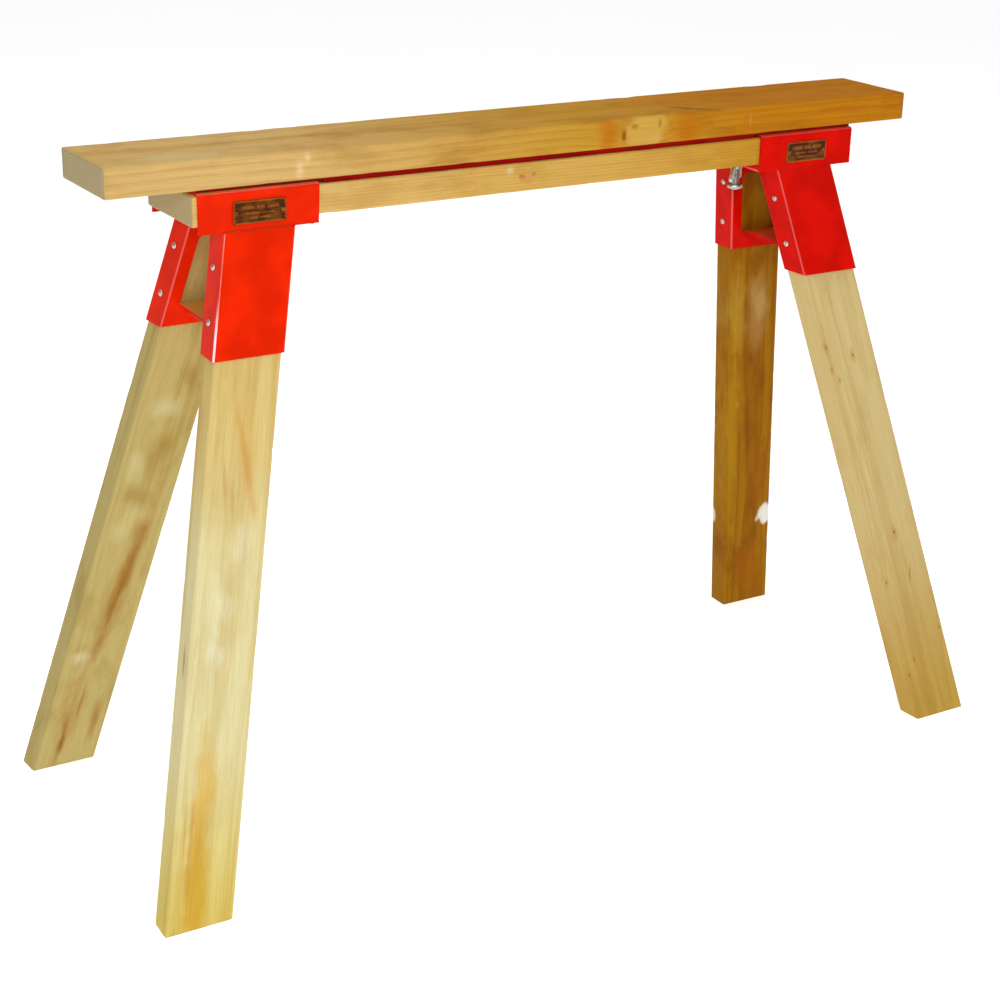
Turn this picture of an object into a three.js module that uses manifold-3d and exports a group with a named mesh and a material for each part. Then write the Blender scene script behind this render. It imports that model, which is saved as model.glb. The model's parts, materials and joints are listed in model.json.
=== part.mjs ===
// Folding sawhorse: a flat plank and rail held by two red sheet-steel brackets, each carrying a
// pair of splayed timber legs that folds inwards under the beam.
//
// Millimetres, +Z up. +X runs along the beam, -Y is the front, and the origin is on the floor
// under the middle of the beam. Each bracket is built in its own frame, with +x pointing outboard.
import * as THREE from 'three';
import { mergeVertices } from 'three/addons/utils/BufferGeometryUtils.js';
import Module from 'manifold-3d';

const wasm = await Module();
wasm.setup();

// ---- Driving dimensions --------------------------------------------------------------------

const HEIGHT = 917;               // floor to plank top
const BOARD_THICK = 38.1;         // dressed two-inch lumber
const LEG_WIDTH = 88.9;           // dressed 2x4
const PLANK_WIDTH = 139.7;        // dressed 2x6
const PLANK_LENGTH = 1219.2;
const PLANK_OFFSET = -9;          // plank's middle from the beam's: it sits a little to the left
const RAIL_LENGTH = 1016;
const RAIL_OFFSET = -2;           // and so does the rail
const EASED_EDGE = 3;             // rounding of the lumber's long edges

const BRACKET_X = 423;            // middle of the beam to the middle of a saddle
const SADDLE_LENGTH = 162;
const SADDLE_DROP = 48;           // side plates, below the rail's top
const SHEET = 2.7;                // 12 gauge steel
const BEND = 3.6;                 // outer radius of the sheet's bends
const BEND_STEPS = 3;             // facets round one bend, or one eased edge
const GAP = 0.3;                  // between pieces that touch
const OVERCUT = 1;                // how far a cutting shape runs past the face that it cuts

const SIDE_SPLAY = THREE.MathUtils.degToRad(13.2);   // legs lean out to the front and back
const END_SPLAY = THREE.MathUtils.degToRad(12.95);   // legs lean out past the beam's ends
const SOCKET_DROP = 148;          // saddle's lower edge to the socket's lower edge
const WINDOW_WIDTH = 59;          // opening punched in a socket's inner plate
const WINDOW_TOP = 27;            // both below the saddle's lower edge
const WINDOW_BOTTOM = 117;
const WINDOW_RADIUS = 8;          // upper corners

const SPINE_RECESS = 3.8;         // spine's faces, behind the rail's faces
const SPINE_STOP = 9;             // spine's side flanges end this far from the saddles

const PIVOT_INSET = 7;            // hinge axis to the saddle's inboard end
const BARREL_RADIUS = 5.7;
const PIN_RADIUS = 3;
const LEAF_HALF_WIDTH = 66;
const LEAF_OUTBOARD = 48;         // hinge leaves' outboard edge, past the saddle's middle
const NOTCH_HALF_WIDTH = 26;      // opening in the leg leaf, which passes the wing nut
const NOTCH_OUTBOARD = -16;
const TONGUE_MARGIN = 2;          // rail leaf's tongue: beyond the washer, and inside the knuckles
const KNUCKLES = [[24, 37.7], [38, 51.7], [52, 66]];   // leg, rail and leg leaf, from the middle

const BOLT_X = -66;               // hanger bolt, from the saddle's middle
const BOLT_RADIUS = 6;            // M12
const BOLT_BITE = 28;             // wood thread in the plank
const BOLT_TAIL = 49.2;           // below the rail
const WASHER_RADIUS = 12;
const WASHER_THICK = 2.5;
const WING_HEIGHT = 30;
const WING_REACH = 23;
const WING_THICK = 4.5;
const WING_TURN = THREE.MathUtils.degToRad(35);        // wings' angle from the beam, when tight
const HUB_RADIUS = 11;
const HUB_HEIGHT = 13;
const NUT_FLATS = 19;             // M12 hexagon
const NUT_HEIGHT = 6;             // thin nut
const NUT_TAIL = 1.5;             // bolt showing below the stop nut

const SCREW_LEVELS = [43, 107];   // leg screws, below the saddle's lower edge
const SCREW_RADIUS = 2.2;
const SCREW_LENGTH = 25;
const SCREW_HEAD = 4.4;
const HEAD_CROWN = 0.62;          // height of a screw's head over its radius
const SCREW_SIDES = 12;
const LEAF_SCREW = { x: -32, y: 15 };

const RIVET_RADIUS = 4;
const RIVET_HEAD = 7.5;
const PLATE_SIZE = { length: 70, height: 28, thick: 0.8 };
const PLATE_DROP = 24.5;          // nameplate's middle, below the rail's top
const TACK_RADIUS = 1.1;          // escutcheon pins of the nameplates
const TACK_HEAD = 1.9;
const TACK_INSET = 4;

// ---- Levels and places worked out from them ------------------------------------------------

const plankBottom = HEIGHT - BOARD_THICK;
const spineTop = plankBottom - GAP;
const saddleTop = spineTop - SHEET - GAP;
const railTop = saddleTop - SHEET - GAP;
const railBottom = railTop - BOARD_THICK;
const railLeafTop = railBottom - GAP;
const railLeafBottom = railLeafTop - SHEET;
const legLeafTop = railLeafBottom - GAP;
const legLeafBottom = legLeafTop - SHEET;
const legTop = legLeafBottom - GAP;
const crease = railTop - SADDLE_DROP;           // where the sockets meet the saddle
const pivot = { x: -SADDLE_LENGTH / 2 + PIVOT_INSET, z: railLeafTop - BARREL_RADIUS };
const saddleHalfWidth = PLANK_WIDTH / 2 + GAP + SHEET;
const inPlaneLean = Math.atan(Math.tan(END_SPLAY) * Math.cos(SIDE_SPLAY));
const boltTip = railBottom - BOLT_TAIL;
const socketDepth = BOARD_THICK + 2 * (GAP + SHEET);
const socketHalfWidth = LEG_WIDTH / 2 + GAP + SHEET;

// ---- Materials -----------------------------------------------------------------------------

const timber = (color) => new THREE.MeshStandardMaterial({ color, roughness: 0.7, metalness: 0 });
const enamel = () => new THREE.MeshStandardMaterial({ color: 0xe02808, roughness: 0.3, metalness: 0 });
const zinc = () => new THREE.MeshStandardMaterial({ color: 0xb9bdb8, roughness: 0.35, metalness: 0.9 });
const brass = () => new THREE.MeshStandardMaterial({ color: 0x8a6420, roughness: 0.4, metalness: 0.8 });

// ---- Solids --------------------------------------------------------------------------------

function toSolid(geometry) {
  const bare = geometry.clone();
  bare.deleteAttribute('normal');
  bare.deleteAttribute('uv');
  const merged = mergeVertices(bare, 1e-4);
  return new wasm.Manifold(new wasm.Mesh({
    numProp: 3,
    vertProperties: new Float32Array(merged.attributes.position.array),
    triVerts: new Uint32Array(merged.index.array),
  }));
}

function toGeometry(solid) {
  const { vertProperties, triVerts } = solid.getMesh();
  const geometry = new THREE.BufferGeometry();
  geometry.setAttribute('position', new THREE.BufferAttribute(vertProperties, 3));
  geometry.setIndex(new THREE.BufferAttribute(triVerts, 1));
  geometry.computeVertexNormals();
  return geometry;
}

/** Join the first geometries into one body and cut the second ones from it. */
function carve(added, removed = []) {
  let solid = added.map(toSolid).reduce((whole, next) => whole.add(next));
  for (const geometry of removed) solid = solid.subtract(toSolid(geometry));
  return toGeometry(solid);
}

function named(name, geometry, material) {
  const mesh = new THREE.Mesh(geometry, material);
  mesh.name = name;
  return mesh;
}

/** Add a rounded rectangle to a path: a shape's outline, or a hole in one. */
function roundedRectangle(path, x0, x1, y0, y1, radius) {
  const quarter = Math.PI / 2;
  path.absarc(x1 - radius, y1 - radius, radius, 0, quarter);
  path.absarc(x0 + radius, y1 - radius, radius, quarter, 2 * quarter);
  path.absarc(x0 + radius, y0 + radius, radius, 2 * quarter, 3 * quarter);
  path.absarc(x1 - radius, y0 + radius, radius, 3 * quarter, 4 * quarter);
  path.closePath();
  return path;
}

function rectangle(x0, x1, y0, y1) {
  const corners = [[x0, y0], [x1, y0], [x1, y1], [x0, y1]];
  return new THREE.Shape(corners.map(([x, y]) => new THREE.Vector2(x, y)));
}

function prism(shape, depth, curveSegments = BEND_STEPS) {
  return new THREE.ExtrudeGeometry(shape, { depth, bevelEnabled: false, curveSegments });
}

function block(x0, x1, y0, y1, z0, z1) {
  const box = new THREE.BoxGeometry(x1 - x0, y1 - y0, z1 - z0);
  return box.translate((x0 + x1) / 2, (y0 + y1) / 2, (z0 + z1) / 2);
}

function uprightRod(radius, x, y, z0, z1, sides = 16) {
  const rod = new THREE.CylinderGeometry(radius, radius, z1 - z0, sides).rotateX(Math.PI / 2);
  return rod.translate(x, y, (z0 + z1) / 2);
}

function crossRod(radius, x, z, y0, y1, sides = 20) {
  const rod = new THREE.CylinderGeometry(radius, radius, y1 - y0, sides);
  return rod.translate(x, (y0 + y1) / 2, z);
}

/** A screw along +z: its head's underside is at z = 0, its tip below. */
function screw(radius, length, headRadius, sides = SCREW_SIDES) {
  const dome = headRadius * HEAD_CROWN;
  const outline = [
    [0, -length], [radius, -length + 2 * radius], [radius, 0], [headRadius, 0],
    [headRadius * 0.9, dome * 0.55], [headRadius * 0.5, dome * 0.92], [0, dome],
  ].map(([r, z]) => new THREE.Vector2(r, z));
  return new THREE.LatheGeometry(outline, sides).rotateX(Math.PI / 2);
}

// ---- Beam: plank, rail and spine -----------------------------------------------------------

const boltPlaces = [-1, 1].map((side) => side * (BRACKET_X + BOLT_X));

/** A board lying flat along X, with eased long edges. */
function flatBoard(length, bottom) {
  const half = PLANK_WIDTH / 2;
  const section = roundedRectangle(new THREE.Shape(), -half, half, 0, BOARD_THICK, EASED_EDGE);
  const board = prism(section, length).translate(0, 0, -length / 2);
  return board.rotateX(Math.PI / 2).rotateZ(Math.PI / 2).translate(0, 0, bottom);
}

function topPlank() {
  const holes = boltPlaces.map((x) =>
    uprightRod(BOLT_RADIUS + GAP, x, 0, plankBottom - OVERCUT, plankBottom + BOLT_BITE + GAP));
  const board = flatBoard(PLANK_LENGTH, plankBottom).translate(PLANK_OFFSET, 0, 0);
  return named('top_plank', carve([board], holes), timber(0xc89a4e));
}

function rail() {
  const holes = boltPlaces.map((x) =>
    uprightRod(BOLT_RADIUS + GAP, x, 0, railBottom - OVERCUT, railTop + OVERCUT));
  for (const [x, y] of leafScrewPlaces()) {
    holes.push(uprightRod(
      SCREW_RADIUS + GAP, x, y, railBottom - OVERCUT, railBottom + SCREW_LENGTH, SCREW_SIDES));
  }
  const board = flatBoard(RAIL_LENGTH, railBottom).translate(RAIL_OFFSET, 0, 0);
  return named('rail', carve([board], holes), timber(0xd6b070));
}

/** Rail leaf screws of both brackets, in the object's frame. */
function leafScrewPlaces() {
  return [-1, 1].flatMap((side) =>
    [-1, 1].map((hand) => [side * (BRACKET_X + LEAF_SCREW.x), hand * LEAF_SCREW.y]));
}

/** A long shallow channel between the boards; its side flanges fill the gap between the saddles. */
function spine() {
  const half = PLANK_WIDTH / 2 - SPINE_RECESS;
  const webHalf = BRACKET_X + SADDLE_LENGTH / 2;
  const flangeHalf = BRACKET_X - SADDLE_LENGTH / 2 - SPINE_STOP;
  const web = block(-webHalf, webHalf, -half, half, spineTop - SHEET, spineTop);
  const flanges = [-1, 1].map((hand) => block(
    -flangeHalf, flangeHalf,
    hand * half - (hand > 0 ? SHEET : 0), hand * half + (hand > 0 ? 0 : SHEET),
    railTop + GAP, spineTop,
  ));
  const holes = boltPlaces.map((x) =>
    uprightRod(BOLT_RADIUS + GAP, x, 0, spineTop - SHEET - OVERCUT, spineTop + OVERCUT));
  return named('spine_channel', carve([web, ...flanges], holes), enamel());
}

// ---- Saddle and nameplate ------------------------------------------------------------------

/** Places of a nameplate's two escutcheon pins, along the beam from its middle. */
const tackPlaces = [-1, 1].map((end) => end * (PLATE_SIZE.length / 2 - TACK_INSET));

/** Inverted U over the rail, its side plates hanging just below the rail's underside. */
function saddleBody(frontSign) {
  const outer = saddleHalfWidth;
  const inner = outer - SHEET;
  const tight = BEND - SHEET;
  const section = new THREE.Shape();
  section.moveTo(outer, crease);
  section.absarc(outer - BEND, saddleTop - BEND, BEND, 0, Math.PI / 2);
  section.absarc(-outer + BEND, saddleTop - BEND, BEND, Math.PI / 2, Math.PI);
  section.lineTo(-outer, crease);
  section.lineTo(-inner, crease);
  section.absarc(-inner + tight, saddleTop - SHEET - tight, tight, Math.PI, Math.PI / 2, true);
  section.absarc(inner - tight, saddleTop - SHEET - tight, tight, Math.PI / 2, 0, true);
  section.lineTo(inner, crease);
  section.closePath();
  const channel = prism(section, SADDLE_LENGTH).translate(0, 0, -SADDLE_LENGTH / 2);
  channel.rotateX(Math.PI / 2).rotateZ(Math.PI / 2);
  const holes = [uprightRod(
    BOLT_RADIUS + GAP, BOLT_X, 0, saddleTop - SHEET - OVERCUT, saddleTop + OVERCUT)];
  for (const x of tackPlaces) {
    const faces = [inner - OVERCUT, outer + OVERCUT].map((y) => frontSign * y);
    faces.sort((a, b) => a - b);
    holes.push(crossRod(TACK_RADIUS + GAP, x, railTop - PLATE_DROP, ...faces, 10));
  }
  return carve([channel], holes);
}

function nameplateBody() {
  const { length, height, thick } = PLATE_SIZE;
  const outline = roundedRectangle(
    new THREE.Shape(), -length / 2, length / 2, -height / 2, height / 2, 1.5);
  for (const x of tackPlaces) {
    const hole = new THREE.Path();
    hole.absarc(x, 0, TACK_RADIUS + GAP, 0, 2 * Math.PI, true);
    outline.holes.push(hole);
  }
  return prism(outline, thick, 4);
}

/** Nameplate and pins on the saddle's front, in a group whose +z is the plate's outward face. */
function nameplate(side) {
  const group = new THREE.Group();
  group.position.set(0, 0, railTop - PLATE_DROP);
  group.add(named(`nameplate_${side}`, nameplateBody(), brass()));
  tackPlaces.forEach((x, index) => {
    const tack = named(
      `nameplate_pin_${side}_${index + 1}`,
      screw(TACK_RADIUS, PLATE_SIZE.thick + SHEET, TACK_HEAD, 10), brass());
    tack.position.set(x, 0, PLATE_SIZE.thick + GAP);
    group.add(tack);
  });
  return group;
}

// ---- Hinge ---------------------------------------------------------------------------------

/** Both copies of a stretch of the hinge barrel, front and back of the middle. */
function barrels(radius, stretches) {
  return stretches.flatMap(([near, far]) => [
    crossRod(radius, pivot.x, pivot.z, near, far),
    crossRod(radius, pivot.x, pivot.z, -far, -near),
  ]);
}

const legKnuckles = [KNUCKLES[0], KNUCKLES[2]];
const railKnuckles = [KNUCKLES[1]];
const grown = (stretches) => stretches.map(([near, far]) => [near - GAP, far + GAP]);
const pinBore = () => barrels(PIN_RADIUS + GAP, [[KNUCKLES[0][0] - OVERCUT, LEAF_HALF_WIDTH + OVERCUT]]);

/** Plate screwed under the rail, with the hinge's fixed knuckles. */
function railLeaf() {
  const plate = block(pivot.x, LEAF_OUTBOARD, -LEAF_HALF_WIDTH, LEAF_HALF_WIDTH,
    railLeafBottom, railLeafTop);
  const tongueHalf = KNUCKLES[0][0] - TONGUE_MARGIN;
  const tongue = block(BOLT_X - WASHER_RADIUS - TONGUE_MARGIN, pivot.x + OVERCUT,
    -tongueHalf, tongueHalf, railLeafBottom, railLeafTop);
  const through = [railLeafBottom - OVERCUT, railLeafTop + OVERCUT];
  const holes = [-1, 1].map((hand) => uprightRod(
    SCREW_RADIUS + GAP, LEAF_SCREW.x, hand * LEAF_SCREW.y, ...through, SCREW_SIDES));
  holes.push(uprightRod(BOLT_RADIUS + GAP, BOLT_X, 0, ...through));
  return carve(
    [plate, tongue, ...barrels(BARREL_RADIUS, railKnuckles)],
    [...holes, ...barrels(BARREL_RADIUS + GAP, grown(legKnuckles)), ...pinBore()]);
}

/** Plate on the tops of the legs and sockets, notched round the wing nut. */
function legLeaf() {
  const plate = block(pivot.x, LEAF_OUTBOARD, -LEAF_HALF_WIDTH, LEAF_HALF_WIDTH,
    legLeafBottom, legLeafTop);
  const notch = block(pivot.x - BARREL_RADIUS - OVERCUT, NOTCH_OUTBOARD,
    -NOTCH_HALF_WIDTH, NOTCH_HALF_WIDTH, legLeafBottom - OVERCUT, legLeafTop + OVERCUT);
  const inner = [[NOTCH_HALF_WIDTH, KNUCKLES[0][1]], KNUCKLES[2]];
  return carve(
    [plate, ...barrels(BARREL_RADIUS, inner)],
    [notch, ...barrels(BARREL_RADIUS + GAP, grown(railKnuckles)), ...pinBore()]);
}

/** Hinge pin for one side: a rod with a peened head at its outer end. */
function hingePin() {
  const length = LEAF_HALF_WIDTH - NOTCH_HALF_WIDTH;
  const outline = [
    [0, 0], [PIN_RADIUS, 0.5], [PIN_RADIUS, length + GAP], [PIN_RADIUS + 1.4, length + GAP],
    [PIN_RADIUS + 0.6, length + 2.2], [0, length + 2.6],
  ].map(([r, y]) => new THREE.Vector2(r, y));
  return new THREE.LatheGeometry(outline, 16);
}

// ---- Hanger bolt, washer, wing nut and stop nut --------------------------------------------

/** Headless bolt, its wood thread in the plank and its machine thread below the rail. */
function hangerBolt() {
  const top = plankBottom + BOLT_BITE;
  const outline = [
    [0, boltTip], [BOLT_RADIUS - 1, boltTip], [BOLT_RADIUS, boltTip + 1],
    [BOLT_RADIUS, top - 8], [0, top],
  ].map(([r, z]) => new THREE.Vector2(r, z));
  return new THREE.LatheGeometry(outline, 20).rotateX(Math.PI / 2);
}

function washer() {
  const ring = new THREE.Shape();
  ring.absarc(0, 0, WASHER_RADIUS, 0, 2 * Math.PI);
  const hole = new THREE.Path();
  hole.absarc(0, 0, BOLT_RADIUS + GAP, 0, 2 * Math.PI, true);
  ring.holes.push(hole);
  return prism(ring, WASHER_THICK, 12);
}

/** One wing's outline: x outwards from the bolt, y downwards along it. */
function wingShape() {
  const tip = 4.5;
  const wing = new THREE.Shape();
  wing.moveTo(BOLT_RADIUS + 1.5, HUB_HEIGHT * 0.3);
  wing.quadraticCurveTo(WING_REACH - 5, HUB_HEIGHT * 0.45, WING_REACH, WING_HEIGHT - tip * 1.4);
  wing.absarc(WING_REACH - tip, WING_HEIGHT - tip, tip, 0, Math.PI * 0.85);
  wing.quadraticCurveTo(WING_REACH - 10, HUB_HEIGHT + 4, BOLT_RADIUS + 1.5, HUB_HEIGHT * 0.85);
  wing.closePath();
  return wing;
}

/** Wing nut hanging below its flat face at z = 0, wings down. */
function wingNut() {
  const hub = new THREE.LatheGeometry([
    [0, -HUB_HEIGHT], [HUB_RADIUS - 2.5, -HUB_HEIGHT], [HUB_RADIUS, -2], [HUB_RADIUS, 0], [0, 0],
  ].map(([r, z]) => new THREE.Vector2(r, z)), 20).rotateX(Math.PI / 2);
  const wings = [0, Math.PI].map((turn) =>
    prism(wingShape(), WING_THICK).translate(0, 0, -WING_THICK / 2)
      .rotateX(-Math.PI / 2).rotateZ(turn));
  return carve([hub, ...wings], [uprightRod(BOLT_RADIUS + GAP, 0, 0, -WING_HEIGHT, OVERCUT, 20)]);
}

function stopNut() {
  const corner = NUT_FLATS / 2 / Math.cos(Math.PI / 6);
  const hexagon = new THREE.CylinderGeometry(corner, corner, NUT_HEIGHT, 6).rotateX(Math.PI / 2);
  return carve([hexagon], [uprightRod(BOLT_RADIUS + GAP, 0, 0, -NUT_HEIGHT, NUT_HEIGHT, 20)]);
}

/** Everything on the hanger bolt's axis. */
function boltGroup(side) {
  const group = new THREE.Group();
  group.position.x = BOLT_X;
  group.add(named(`hanger_bolt_${side}`, hangerBolt(), zinc()));

  const flatWasher = named(`washer_${side}`, washer(), zinc());
  flatWasher.position.z = railLeafBottom - GAP - WASHER_THICK;
  group.add(flatWasher);

  const wings = named(`wing_nut_${side}`, wingNut(), zinc());
  wings.position.z = flatWasher.position.z - GAP;
  wings.rotation.z = WING_TURN;
  group.add(wings);

  const stop = named(`stop_nut_${side}`, stopNut(), zinc());
  stop.position.z = boltTip + NUT_TAIL + NUT_HEIGHT / 2;
  group.add(stop);
  return group;
}

// ---- Legs and sockets ----------------------------------------------------------------------

/**
 * Frame of one leg: x across its width, y out of its outer face, z up its length, with the
 * origin on the socket's outer face at the saddle's lower edge. hand is 1 on the bracket's +y
 * side and -1 on its -y side; on both, the leg leans outwards and outboard.
 */
function legFrame(hand) {
  const frame = new THREE.Group();
  frame.position.set(0, hand * saddleHalfWidth, crease);
  frame.rotation.order = 'ZXY';
  frame.rotation.set(SIDE_SPLAY, -hand * inPlaneLean, hand > 0 ? 0 : Math.PI);
  frame.updateMatrix();
  return frame;
}

/** Height along a leg, at x and y in its frame, of the level plane at world height z. */
function levelOnLeg(hand, z, x, y) {
  const lean = Math.cos(SIDE_SPLAY) * Math.sin(hand * inPlaneLean);
  const rise = Math.cos(SIDE_SPLAY) * Math.cos(inPlaneLean);
  return (z - crease - lean * x - Math.sin(SIDE_SPLAY) * y) / rise;
}

/** Prism along a leg whose ends are level: bottom and top give the world height at x and y. */
function levelPrism(hand, shape, bottom, top) {
  const geometry = prism(shape, 1);
  const place = geometry.attributes.position;
  for (let i = 0; i < place.count; i += 1) {
    const [x, y] = [place.getX(i), place.getY(i)];
    const height = place.getZ(i) > 0.5 ? top(x, y) : bottom(x, y);
    place.setZ(i, levelOnLeg(hand, height, x, y));
  }
  geometry.computeVertexNormals();
  return geometry;
}

/** The four screws of a leg: outboard and inboard narrow faces, upper and lower level. */
function screwPlaces(hand) {
  const y = -SHEET - GAP - BOARD_THICK / 2;
  return [1, -1].flatMap((face) => SCREW_LEVELS.map((drop) => {
    const x = face * socketHalfWidth;
    return { face, x, y, z: levelOnLeg(hand, crease - drop, x, y) };
  }));
}

/** Holes along x for the screws, from outside the socket to a depth inside the leg. */
function screwHoles(hand) {
  const radius = SCREW_RADIUS + GAP;
  const depth = SCREW_LENGTH + 2 * OVERCUT;
  return screwPlaces(hand).map(({ face, x, y, z }) => {
    const hole = new THREE.CylinderGeometry(radius, radius, depth, SCREW_SIDES);
    return hole.rotateZ(Math.PI / 2).translate(x - face * (depth / 2 - OVERCUT), y, z);
  });
}

function legBody(hand) {
  const outerFace = -SHEET - GAP;
  const section = roundedRectangle(new THREE.Shape(), -LEG_WIDTH / 2, LEG_WIDTH / 2,
    outerFace - BOARD_THICK, outerFace, EASED_EDGE);
  const timberLength = levelPrism(hand, section, () => 0, () => legTop);
  return carve([timberLength], screwHoles(hand));
}

/** Box of folded sheet round the leg, with a window whose flap is bent out as half of the tie. */
function socketBody(hand) {
  const section = roundedRectangle(
    new THREE.Shape(), -socketHalfWidth, socketHalfWidth, -socketDepth, 0, BEND);
  const hollow = roundedRectangle(new THREE.Path(), -socketHalfWidth + SHEET,
    socketHalfWidth - SHEET, -socketDepth + SHEET, -SHEET, BEND - SHEET);
  section.holes.push(hollow);
  const foot = () => crease - SOCKET_DROP;
  const head = (x, y) => (y > -BEND - GAP ? crease - GAP : legTop);   // outer plate, side flanges
  const box = levelPrism(hand, section, foot, head);
  return carve([box, tieFlap(hand)], [...windowCuts(hand), rivetHole(hand), ...screwHoles(hand)]);
}

/** World height of a flap's top face: the flap on the +y side lies under the other one. */
const flapTop = (hand) => crease - WINDOW_BOTTOM - (hand > 0 ? SHEET + GAP : 0);

/** Where a leg's centre line crosses a level, measured outboard from the saddle's middle. */
const leanAt = (z) => (crease - z) * Math.tan(END_SPLAY);

/** A socket's inner face at a level, measured out from the beam's middle plane. */
const innerFaceAt = (z) =>
  saddleHalfWidth + (crease - z) * Math.tan(SIDE_SPLAY) - socketDepth / Math.cos(SIDE_SPLAY);

/** Opening in a socket's inner plate, with level ends and rounded upper corners. */
function windowCuts(hand) {
  const half = WINDOW_WIDTH / 2;
  const faces = [-socketDepth - OVERCUT, -socketDepth + SHEET + OVERCUT];
  const shoulder = crease - WINDOW_TOP - WINDOW_RADIUS;
  const strip = (reach, top) => levelPrism(
    hand, rectangle(-reach, reach, ...faces), () => flapTop(hand), () => top);
  const corners = [-1, 1].map((end) => {
    const x = end * (half - WINDOW_RADIUS);
    const rod = new THREE.CylinderGeometry(WINDOW_RADIUS, WINDOW_RADIUS, faces[1] - faces[0], 24);
    const z = levelOnLeg(hand, shoulder, x, -socketDepth);
    return rod.translate(x, (faces[0] + faces[1]) / 2, z);
  });
  return [strip(half, shoulder), strip(half - WINDOW_RADIUS, crease - WINDOW_TOP), ...corners];
}

/** Take geometry from the bracket's frame into a leg's frame. */
function intoLegFrame(hand, geometry) {
  return geometry.applyMatrix4(legFrame(hand).matrix.clone().invert());
}

function tieFlap(hand) {
  const top = flapTop(hand);
  const middle = leanAt(top);
  const half = WINDOW_WIDTH / 2 / Math.cos(inPlaneLean);
  const root = innerFaceAt(top) + SHEET / 2;
  const length = (WINDOW_BOTTOM - WINDOW_TOP) / Math.cos(SIDE_SPLAY);
  const ends = [hand * root, hand * (root - length)].sort((a, b) => a - b);
  return intoLegFrame(hand, block(middle - half, middle + half, ...ends, top - SHEET, top));
}

function rivetHole(hand) {
  const z = flapTop(hand);
  const hole = uprightRod(RIVET_RADIUS + GAP, leanAt(flapTop(-1)), 0, z - SHEET - OVERCUT, z + OVERCUT);
  return intoLegFrame(hand, hole);
}

/** Rivet joining the two flaps, with a domed head on each side; z = 0 is between the flaps. */
function tieRivet() {
  const reach = SHEET + GAP + GAP / 2;
  const outline = [
    [0, -reach - 3.2], [RIVET_HEAD * 0.6, -reach - 2.6], [RIVET_HEAD, -reach],
    [RIVET_RADIUS, -reach], [RIVET_RADIUS, reach],
    [RIVET_HEAD, reach], [RIVET_HEAD * 0.6, reach + 2.6], [0, reach + 3.2],
  ].map(([r, z]) => new THREE.Vector2(r, z));
  return new THREE.LatheGeometry(outline, 16).rotateX(Math.PI / 2);
}

function legGroup(side, hand, end, color) {
  const frame = legFrame(hand);
  frame.add(named(`leg_${end}_${side}`, legBody(hand), timber(color)));
  frame.add(named(`socket_${end}_${side}`, socketBody(hand), enamel()));
  screwPlaces(hand).forEach(({ face, x, y, z }, index) => {
    const fixing = named(`leg_screw_${end}_${side}_${index + 1}`,
      screw(SCREW_RADIUS, SCREW_LENGTH, SCREW_HEAD), zinc());
    fixing.position.set(x + face * GAP, y, z);
    fixing.rotation.y = face * Math.PI / 2;
    frame.add(fixing);
  });
  return frame;
}

// ---- Bracket -------------------------------------------------------------------------------

const legColors = {
  front_left: 0xdcc48c, back_left: 0xb09a5c, front_right: 0xc8a058, back_right: 0x96602c,
};

/** One bracket with its legs, in a frame whose +x points outboard. */
function bracket(side) {
  const group = new THREE.Group();
  const frontHand = side === 'right' ? -1 : 1;
  group.position.x = side === 'right' ? BRACKET_X : -BRACKET_X;
  group.rotation.z = side === 'right' ? 0 : Math.PI;

  group.add(named(`saddle_${side}`, saddleBody(frontHand), enamel()));
  const plate = nameplate(side);
  plate.position.y = frontHand * (saddleHalfWidth + GAP);
  plate.rotation.set(Math.PI / 2, frontHand > 0 ? Math.PI : 0, 0);
  group.add(plate);

  group.add(named(`rail_leaf_${side}`, railLeaf(), enamel()));
  group.add(named(`leg_leaf_${side}`, legLeaf(), enamel()));
  for (const hand of [-1, 1]) {
    const end = hand === frontHand ? 'front' : 'back';
    const pin = named(`hinge_pin_${end}_${side}`, hingePin(), zinc());
    pin.position.set(pivot.x, hand * NOTCH_HALF_WIDTH, pivot.z);
    pin.rotation.x = hand > 0 ? 0 : Math.PI;
    group.add(pin);

    const fixing = named(`leaf_screw_${end}_${side}`,
      screw(SCREW_RADIUS, SCREW_LENGTH, SCREW_HEAD), zinc());
    fixing.position.set(LEAF_SCREW.x, hand * LEAF_SCREW.y, railLeafBottom - GAP);
    fixing.rotation.x = Math.PI;
    group.add(fixing);

    group.add(legGroup(side, hand, end, legColors[`${end}_${side}`]));
  }

  group.add(boltGroup(side));
  const rivet = named(`tie_rivet_${side}`, tieRivet(), zinc());
  rivet.position.set(leanAt(flapTop(-1)), 0, flapTop(-1) - SHEET - GAP / 2);
  group.add(rivet);
  return group;
}

const sawhorse = new THREE.Group();
sawhorse.add(topPlank(), rail(), spine(), bracket('left'), bracket('right'));

export default sawhorse;
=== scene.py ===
"""Folding sawhorse: the visual model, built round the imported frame.

Metres, in the object's own frame: +X along the beam, -Y the front, +Z up, floor at z = 0.
"""

import json
import math

import bmesh
import bpy
from mathutils import Matrix, Vector, noise

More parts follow.
